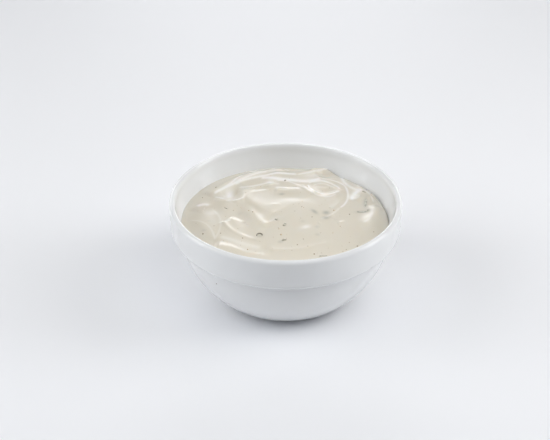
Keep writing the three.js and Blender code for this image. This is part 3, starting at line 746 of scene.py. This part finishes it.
def disc(around, rings):
    """Unit vertices and faces of a closed lens: rings of the top, the rim, rings below."""
    reach = np.concatenate([rings, [1.0], rings[::-1]])
    side = np.concatenate([np.ones(len(rings)), [0.0], -np.ones(len(rings))])
    angle = np.arange(around) * 2 * np.pi / around
    reach, turn = np.meshgrid(reach, angle, indexing="ij")
    side = np.repeat(side, around)
    ring, step = np.meshgrid(np.arange(len(reach) - 1), np.arange(around), indexing="ij")
    after = (step + 1) % around
    near, far = ring * around, (ring + 1) * around
    quads = np.stack([near + step, far + step, far + after, near + after], -1).reshape(-1, 4)
    poles = len(side), len(side) + 1
    step, after = step[0], after[0]
    last = (len(reach) - 1) * around
    top = np.stack([np.full(around, poles[0]), step, after], 1)
    low = np.stack([np.full(around, poles[1]), last + after, last + step], 1)
    reach = np.concatenate([reach.ravel(), [0, 0]])
    turn = np.concatenate([turn.ravel(), [0, 0]])
    side = np.concatenate([side, [1, -1]])
    return reach, turn, side, [*quads.tolist(), *top.tolist(), *low.tolist()]


def flecks(rows, height, around, seed):
    """Closed flakes on the sauce: lenses with a wavy outline, curved with the surface.

    The outline is an ellipse times one plus two sine waves around it, whose phases are
    drawn from the seed for each flake.
    """
    draw = np.random.default_rng(seed)
    reach, turn, side, faces = disc(around, np.array(FLAKE_RINGS))
    rows = [(centre, length, width, np.radians(angle)) for centre, length, width, angle in rows]
    waves = draw.uniform(0, 2 * np.pi, (len(rows), 2, 1))
    centre = np.array([row[0] for row in rows])
    length, width, angle = (np.array([row[k] for row in rows])[:, None] for k in (1, 2, 3))
    ripples = [size * np.sin(count * turn + waves[:, k]) for k, (count, size) in enumerate(FLAKE_WAVES)]
    wavy = reach * (1 + sum(ripples))
    u = wavy * np.cos(turn) * length / 2
    v = wavy * np.sin(turn) * width / 2
    x = centre[:, :1] + u * np.cos(angle) - v * np.sin(angle)
    y = centre[:, 1:] + u * np.sin(angle) + v * np.cos(angle)
    bulge = height * np.minimum(width, FLAKE_WIDEST) * np.sqrt(1 - reach ** 2)
    z = surface_height(x, y) + side * bulge
    points = np.stack([x, y, z], -1).reshape(-1, 3)
    starts = np.arange(len(rows)) * len(reach)
    return points, [[start + k for k in face] for start in starts.tolist() for face in faces]


def ring_of_chive(around, sides):
    """A slice of chive: a tube bent round most of a circle and tapered at both ends."""
    centre, radius, thickness, span = CHIVE_RING
    share = np.linspace(0, 1, around)[:, None]
    angle = np.radians(span[0] + (span[1] - span[0]) * share)
    turn = np.arange(sides) * 2 * np.pi / sides
    tube = thickness * np.sqrt(np.maximum(np.sin(np.pi * share), 0.0)) + RING_TIP
    x = centre[0] + (radius + tube * np.cos(turn)) * np.cos(angle)
    y = centre[1] + (radius + tube * np.cos(turn)) * np.sin(angle)
    along = surface_height(centre[0] + radius * np.cos(angle), centre[1] + radius * np.sin(angle))
    points = np.stack([x, y, along + tube * np.sin(turn)], -1).reshape(-1, 3)
    i, j = np.meshgrid(np.arange(around - 1) * sides, np.arange(sides), indexing="ij")
    after = (j + 1) % sides
    quads = np.stack([i + j, i + sides + j, i + sides + after, i + after], -1).reshape(-1, 4)
    caps = [list(range(sides)), list(range(around * sides - 1, (around - 1) * sides - 1, -1))]
    return points, [*quads.tolist(), *caps]


def strewn(count, sizes, seed):
    """Rows of small flecks: even over the disc, with widths between two sizes."""
    draw = np.random.default_rng(seed)
    radius = STREWN_RADIUS * np.sqrt(draw.uniform(0, 1, count))
    angle = draw.uniform(0, 2 * np.pi, count)
    width = draw.uniform(*sizes, count)
    return [((r * np.cos(a), r * np.sin(a)), w, w, 0.0) for r, a, w in zip(radius, angle, width)]


def add_piece(name, points, faces, material, node):
    """Makes a smooth piece from points in millimetres, and ties it to the frame."""
    mesh = bpy.data.meshes.new(name)
    mesh.from_pydata((points * MM).tolist(), [], faces)
    mesh.validate()
    mesh.shade_smooth()
    mesh.materials.append(material)
    piece = bpy.data.objects.new(name, mesh)
    bpy.context.scene.collection.objects.link(piece)
    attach(piece, BODY)
    if node:
        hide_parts(node)
    return piece


# ---------------------------------------------------------------- finishes


class Field:
    """A socket in a material: sums, differences and products of fields add Math nodes."""

    def __init__(self, finish, socket):
        self.finish = finish
        self.socket = socket

    def _math(self, operation, first, second):
        return self.finish.node("ShaderNodeMath", {"operation": operation}, {0: first, 1: second})

    def __add__(self, other):
        return self._math("ADD", self, other)

    def __radd__(self, other):
        return self._math("ADD", other, self)

    def __sub__(self, other):
        return self._math("SUBTRACT", self, other)

    def __rsub__(self, other):
        return self._math("SUBTRACT", other, self)

    def __mul__(self, other):
        return self._math("MULTIPLY", self, other)

    def __rmul__(self, other):
        return self._math("MULTIPLY", other, self)


class Finish:
    """A material with one Principled shader, and the nodes that feed it."""

    def __init__(self, name, **constants):
        self.material = bpy.data.materials.new(name)
        self.material.use_nodes = True
        self.tree = self.material.node_tree
        self.shader = self.tree.nodes["Principled BSDF"]
        for socket, value in constants.items():
            self.feed(self.shader.inputs[socket.replace("_", " ")], value)

    def feed(self, socket, value):
        """Links a field to a socket, or sets the socket to a value."""
        if isinstance(value, Field):
            self.tree.links.new(value.socket, socket)
        elif isinstance(value, tuple) and len(value) == 3 and socket.type == "RGBA":
            socket.default_value = (*value, 1)
        else:
            socket.default_value = value

    def node(self, kind, settings, inputs, output=0):
        """Adds a node with its settings and sockets, and returns one of its outputs."""
        node = self.tree.nodes.new(kind)
        for key, value in settings.items():
            setattr(node, key, value)
        for key, value in inputs.items():
            self.feed(node.inputs[key], value)
        return Field(self, node.outputs[output])

    def place(self):
        """Object coordinates."""
        return self.node("ShaderNodeTexCoord", {}, {}, "Object")

    def noise(self, scale, detail=2.0):
        """Fractal noise over the piece, with a scale in features for each metre."""
        inputs = {"Vector": self.place(), "Scale": scale, "Detail": detail}
        return self.node("ShaderNodeTexNoise", {}, inputs)

    def blend(self, amount, first, second):
        """Mix of two colours."""
        settings = {"data_type": "RGBA"}
        return self.node("ShaderNodeMix", settings, {0: amount, 6: first, 7: second}, 2)

    def ramp(self, value, low, high):
        """Value taken smoothly from low to high, as 0 to 1."""
        settings = {"interpolation_type": "SMOOTHSTEP"}
        return self.node("ShaderNodeMapRange", settings, {0: value, 1: low, 2: high})

    def bump(self, height, distance):
        """Normal bent by a height."""
        return self.node("ShaderNodeBump", {}, {"Height": height, "Distance": distance})

    def surface(self, **fields):
        """Feeds the shader, and returns the material."""
        for socket, value in fields.items():
            self.feed(self.shader.inputs[socket.replace("_", " ")], value)
        return self.material


def porcelain(colour):
    """White glaze, a little uneven, with one brown speck."""
    finish = Finish("porcelain", IOR=GLAZE_IOR)
    tone = finish.noise(GLAZE_TONES)
    deep = tuple(value * GLAZE_SHADE for value in colour)
    base = finish.blend(tone, tuple(colour), deep)
    speck = tuple(value * MM for value in GLAZE_SPECK)
    measure = {"operation": "DISTANCE"}
    away = finish.node("ShaderNodeVectorMath", measure, {0: finish.place(), 1: speck}, "Value")
    radius = GLAZE_SPECK_RADIUS * MM
    near = 1 - finish.ramp(away, radius * GLAZE_SPECK_CORE, radius)
    base = finish.blend(near, base, SPECK_BROWN)
    ripple = finish.noise(GLAZE_RIPPLES, detail=1.0)
    low, span = GLAZE_ROUGHNESS
    normal = finish.bump(ripple, GLAZE_RIPPLE_HEIGHT * MM)
    return finish.surface(Base_Color=base, Roughness=low + tone * span, Normal=normal)


def sauce_cream(colour):
    """Cream-coloured emulsion with a wet gloss, painted highlights and painted shade in its colour, and
    the tint of the herbs just under it.
    """
    finish = Finish(
        "tartar_sauce",
        IOR=SAUCE_IOR,
        Specular_IOR_Level=SAUCE_GLOSS,
        Subsurface_Weight=SAUCE_GLOW,
        Subsurface_Scale=SAUCE_GLOW_DEPTH * MM,
        Subsurface_Radius=SAUCE_GLOW_REACH,
    )
    tone = finish.noise(SAUCE_TONES, detail=3.0)
    deep = tuple(value * share for value, share in zip(colour, SAUCE_SHADE))
    base = finish.blend(tone, tuple(colour), deep)
    # Painted shade from the attribute named deep, painted highlights, and the herbs under the film,
    # each mixed into the base colour.
    for name, tint in (("deep", PAINTED_SHADE_TINT), ("painted_highlight", PAINTED_HIGHLIGHT_TINT), ("stain", VEILED_TINT)):
        shown = finish.node("ShaderNodeAttribute", {"attribute_name": name}, {}, "Fac")
        base = finish.blend(shown, base, tint)
    low, span = SAUCE_ROUGHNESS
    return finish.surface(Base_Color=base, Roughness=low + tone * span)


def herb(name, dark, light, scale):
    """Chopped herb or spice, mottled from a dark to a light colour."""
    finish = Finish(name, IOR=HERB_IOR, Roughness=HERB_ROUGHNESS)
    mottle = finish.ramp(finish.noise(scale), *HERB_MOTTLE)
    return finish.surface(Base_Color=finish.blend(mottle, dark, light))


# ---------------------------------------------------------------- operators


class SAUCEBOWL_OT_bowl(Operator):
    """Turn the porcelain bowl and glaze it"""

    bl_idname = "sauce_bowl.bowl"
    bl_label = "Bowl"

    def execute(self, context):
        settings = context.scene.sauce_bowl.bowl
        lip, wall = inner_profile()
        points, faces = lathe(np.concatenate([outer_profile(), lip, wall]), settings.segments)
        add_piece("porcelain_bowl", points, faces, porcelain(settings.glaze), "bowl")
        return {"FINISHED"}


class SAUCEBOWL_OT_sauce(Operator):
    """Pour the sauce and swirl its surface"""

    bl_idname = "sauce_bowl.sauce"
    bl_label = "Sauce"

    def execute(self, context):
        settings = context.scene.sauce_bowl.sauce
        points, faces = sauce_body(settings.grid)
        cream = sauce_cream(settings.cream)
        piece = add_piece("swirled_sauce", points, faces, cream, "tartar_sauce")
        x, y = points[:, 0], points[:, 1]
        # Attributes for the herbs under the film, the painted highlights, and the painted shade (the
        # one named deep).
        shown = {
            "stain": stain_strength(x, y),
            "painted_highlight": painted_highlight_strength(x, y),
            "deep": strongest(PAINTED_SHADE_PATCHES, x, y),
        }
        for name, strength in shown.items():
            piece.data.attributes.new(name, "FLOAT", "POINT").data.foreach_set("value", strength)
        return {"FINISHED"}


class SAUCEBOWL_OT_herbs(Operator):
    """Lay the herbs, the pepper and the spice on the sauce"""

    bl_idname = "sauce_bowl.herbs"
    bl_label = "Herbs and pepper"

    def execute(self, context):
        pepper = [(place, size, size, 0.0) for place, size in PEPPER]
        spice = [(place, size, size, 0.0) for place, size in SPICE]
        pepper += strewn(STREWN_PEPPER, STREWN_PEPPER_WIDTHS, STREWN_SEED)
        spice += strewn(STREWN_SPICE, STREWN_SPICE_WIDTHS, STREWN_SEED + 1)
        leaf_finish = herb("herb_leaf", *LEAF_COLOURS, LEAF_MOTTLES)
        chive_finish = herb("chive", *CHIVE_COLOURS, CHIVE_MOTTLES)
        slice_finish = herb("chive_slice", *SLICE_COLOURS, LEAF_MOTTLES)
        pepper_finish = herb("pepper", *PEPPER_COLOURS, SPECK_MOTTLES)
        spice_finish = herb("spice", *SPICE_COLOURS, SPECK_MOTTLES)
        kinds = (
            ("herb_leaves", flecks(HERB_LEAVES, *LEAF_FLAKE), leaf_finish),
            ("chive_pieces", flecks(CHIVES, *CHIVE_FLAKE), chive_finish),
            ("chive_ring", ring_of_chive(*RING_STEPS), slice_finish),
            ("pepper_specks", flecks(pepper, *PEPPER_FLAKE), pepper_finish),
            ("spice_specks", flecks(spice, *SPICE_FLAKE), spice_finish),
        )
        for name, (points, faces), finish in kinds:
            add_piece(name, points, faces, finish, None)
        return {"FINISHED"}


# ---------------------------------------------------------------- stage


class SAUCEBOWL_OT_stage(Operator):
    """Lay the floor and set the camera and the soft light"""

    bl_idname = "sauce_bowl.stage"
    bl_label = "Stage"

    def execute(self, context):
        settings = context.scene.sauce_bowl.stage
        self.floor(settings)
        self.camera(context, settings)
        self.light(context)
        context.scene.view_settings.view_transform = "Standard"
        return {"FINISHED"}

    def floor(self, settings):
        """A large pale plane."""
        corners = [(x * FLOOR_HALF, y * FLOOR_HALF, 0) for x, y in ((-1, -1), (1, -1), (1, 1), (-1, 1))]
        mesh = bpy.data.meshes.new("floor")
        mesh.from_pydata(corners, [], [(0, 1, 2, 3)])
        finish = Finish("floor", Base_Color=tuple(settings.floor), Roughness=FLOOR_ROUGHNESS)
        mesh.materials.append(finish.material)
        floor = bpy.data.objects.new("floor", mesh)
        bpy.context.scene.collection.objects.link(floor)

    def camera(self, context, settings):
        """A camera at the photograph's angle."""
        camera = bpy.data.cameras.new("camera")
        camera.lens = CAMERA_LENS
        camera.sensor_fit = "HORIZONTAL"
        viewer = bpy.data.objects.new("camera", camera)
        context.scene.collection.objects.link(viewer)
        x, y, z = CAMERA_TARGET
        back = settings.distance * np.cos(settings.pitch)
        viewer.location = (x, y - back, z + settings.distance * np.sin(settings.pitch))
        viewer.rotation_euler = (np.pi / 2 - settings.pitch, 0, 0)
        context.scene.camera = viewer

    def light(self, context):
        """Softboxes above and beside the bowl, and a dim even room."""
        centre = Vector(LIGHT_TARGET)
        for name, (direction, distance, side, watts, colour) in SOFTBOXES.items():
            light = bpy.data.lights.new(name, "AREA")
            light.shape = "SQUARE"
            light.size = side
            light.energy = watts
            light.color = colour
            lamp = bpy.data.objects.new(name, light)
            context.scene.collection.objects.link(lamp)
            azimuth, elevation = np.radians(direction)
            level = np.cos(elevation)
            away = Vector((level * np.cos(azimuth), level * np.sin(azimuth), np.sin(elevation)))
            lamp.location = centre + away * distance
            lamp.rotation_euler = (-away).to_track_quat("-Z", "Y").to_euler()
        world = bpy.data.worlds.new("room")
        context.scene.world = world
        world.use_nodes = True
        world.node_tree.nodes["Background"].inputs["Strength"].default_value = WORLD_STRENGTH


class SAUCEBOWL_PT_panel(Panel):
    """Buttons that build the model"""

    bl_idname = "SAUCEBOWL_PT_panel"
    bl_label = "Bowl of Tartar Sauce"
    bl_space_type = "VIEW_3D"
    bl_region_type = "UI"
    bl_category = "Sauce Bowl"

    def draw(self, context):
        for step in STEPS:
            self.layout.operator(step.bl_idname)


STEPS = (SAUCEBOWL_OT_bowl, SAUCEBOWL_OT_sauce, SAUCEBOWL_OT_herbs, SAUCEBOWL_OT_stage)
CLASSES = (BowlSettings, SauceSettings, StageSettings, SauceBowlSettings, *STEPS, SAUCEBOWL_PT_panel)


def register():
    for item in CLASSES:
        bpy.utils.register_class(item)
    bpy.types.Scene.sauce_bowl = PointerProperty(type=SauceBowlSettings)


def unregister():
    del bpy.types.Scene.sauce_bowl
    for item in reversed(CLASSES):
        bpy.utils.unregister_class(item)


def main():
    """Builds the pieces in order."""
    register()
    for step in STEPS:
        getattr(bpy.ops.sauce_bowl, step.bl_idname.split(".")[1])()


if __name__ == "__main__":
    main()
